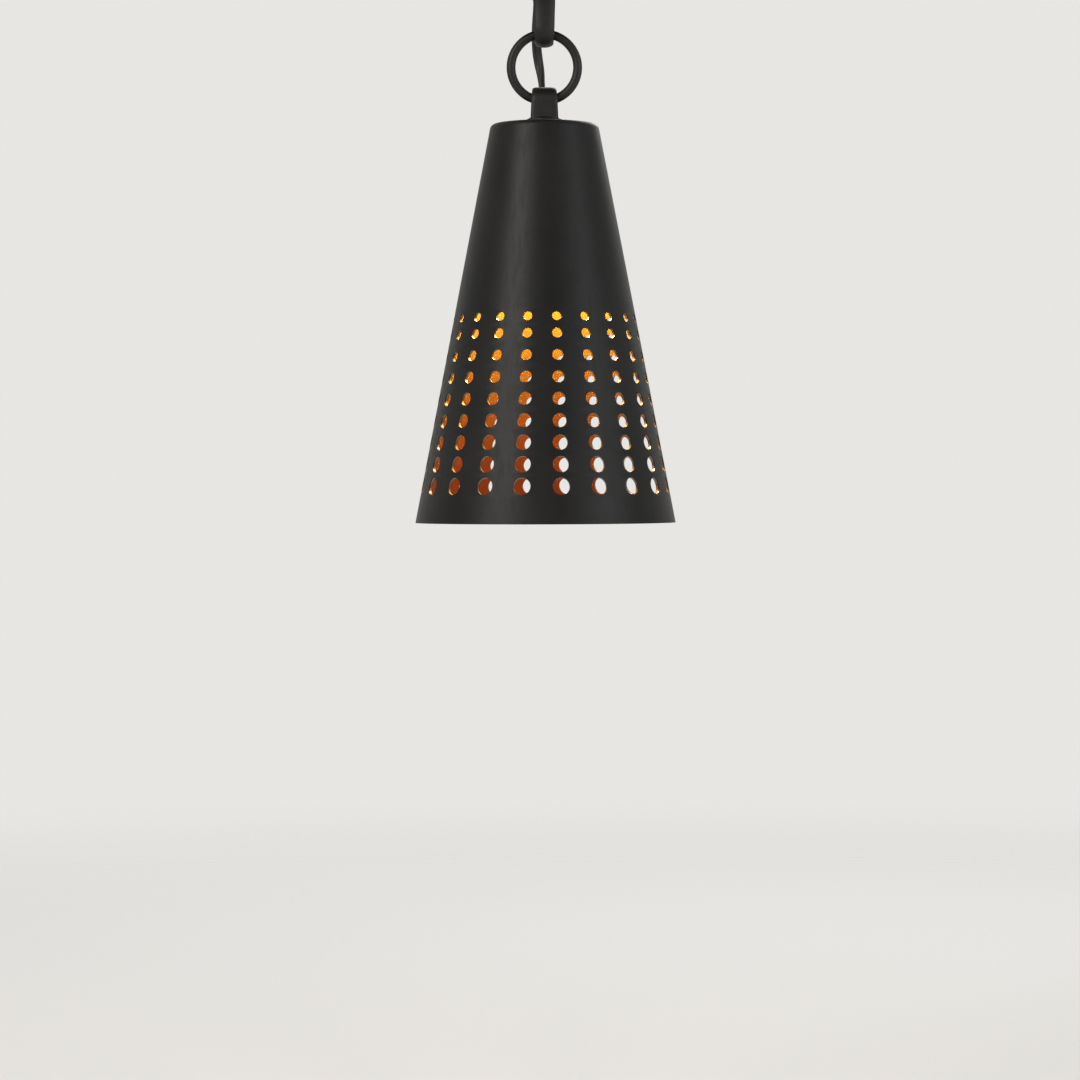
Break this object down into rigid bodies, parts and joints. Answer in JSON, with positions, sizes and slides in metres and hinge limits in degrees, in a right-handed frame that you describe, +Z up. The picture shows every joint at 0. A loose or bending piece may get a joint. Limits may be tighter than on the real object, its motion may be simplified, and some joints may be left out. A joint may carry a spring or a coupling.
{
  "type": "outdoor pendant light",
  "caption": "Outdoor pendant light: tall conical black shade drilled with rows of growing round holes, hung by a ring between two loops under a ceiling fitting.",
  "frame": {"origin": "centre of the mounting plate's upper face, which lies on the ceiling", "axes": "+Z up, out of the ceiling face; +X to the right in the picture; -Y towards the viewer"},
  "size_m": [0.1302, 0.1302, 0.2932],
  "materials": {
    "powder_coat": "black satin powder coat with a fine orange peel",
    "cast_black": "black lacquered cast and drawn iron, a little rubbed where it bears",
    "zinc_steel": "zinc plated steel",
    "brass": "pressed brass",
    "copper": "tinned copper strands",
    "rubber": "moulded black rubber",
    "cord_jacket": "black flat twin cord jacket",
    "phenolic": "moulded phenolic",
    "pale_plastic": "moulded polyamide",
    "porcelain": "unglazed porcelain",
    "silicone": "grey silicone",
    "amber_glass": "amber coated glass",
    "filament": "lit filament"
  },
  "bodies": {
    "ceiling_fitting": {"mounting_plate": "zinc_steel", "canopy": "powder_coat", "canopy_screw_left": "cast_black", "canopy_screw_right": "cast_black", "terminal_block": "pale_plastic", "terminal_screw_1": "brass", "terminal_screw_2": "brass", "terminal_screw_3": "brass", "terminal_screw_4": "brass", "block_screw": "zinc_steel", "ceiling_loop": "cast_black", "loop_washer": "zinc_steel", "loop_nut": "zinc_steel", "canopy_gland": "rubber", "canopy_lead": "cord_jacket", "cord_upper": "cord_jacket"},
    "ring": {"ring": "cast_black"},
    "shade": {"shade_loop": "cast_black", "seat_gasket": "rubber", "shade": "powder_coat", "shade_gland": "rubber", "nipple": "zinc_steel", "inner_washer": "zinc_steel", "lock_nut": "zinc_steel", "holder_cap": "phenolic", "holder_body": "phenolic", "holder_core": "porcelain", "screw_shell": "brass", "centre_contact": "brass", "holder_terminal_1": "brass", "holder_terminal_2": "brass", "inner_lead": "cord_jacket", "conductor_1": "copper", "conductor_2": "copper", "cord_lower": "cord_jacket"},
    "bulb_seal": {"bulb_seal": "silicone"},
    "bulb": {"bulb_cap": "brass", "bulb_insulator": "phenolic", "bulb_tip": "zinc_steel", "bulb_glass": "amber_glass", "bulb_stem": "amber_glass", "filament": "filament"}
  },
  "joints": [
    {"name": "ring_swing", "type": "hinge", "parent": "ceiling_fitting", "child": "ring", "pos_m": [0, 0, -0.04895], "axis": [1, 0, 0], "range_deg": [-25, 25], "deforming": ["cord_upper"]},
    {"name": "shade_swing", "type": "hinge", "parent": "ring", "child": "shade", "pos_m": [0, 0, -0.0656], "axis": [0, 1, 0], "range_deg": [-20, 20], "deforming": ["cord_lower"]},
    {"name": "bulb_travel", "type": "slide", "parent": "shade", "child": "bulb_seal", "axis": [0, 0, 1], "range_m": [-0.0114, 0]},
    {"name": "bulb_turn", "type": "hinge", "parent": "bulb_seal", "child": "bulb", "pos_m": [0, 0, -0.14], "axis": [0, 0, 1], "range_deg": [-1440, 0]}
  ],
  "couplings": [
    {"joint": "bulb_travel", "follows": "bulb_turn", "m_per_rad": 0.00044882}
  ]
}
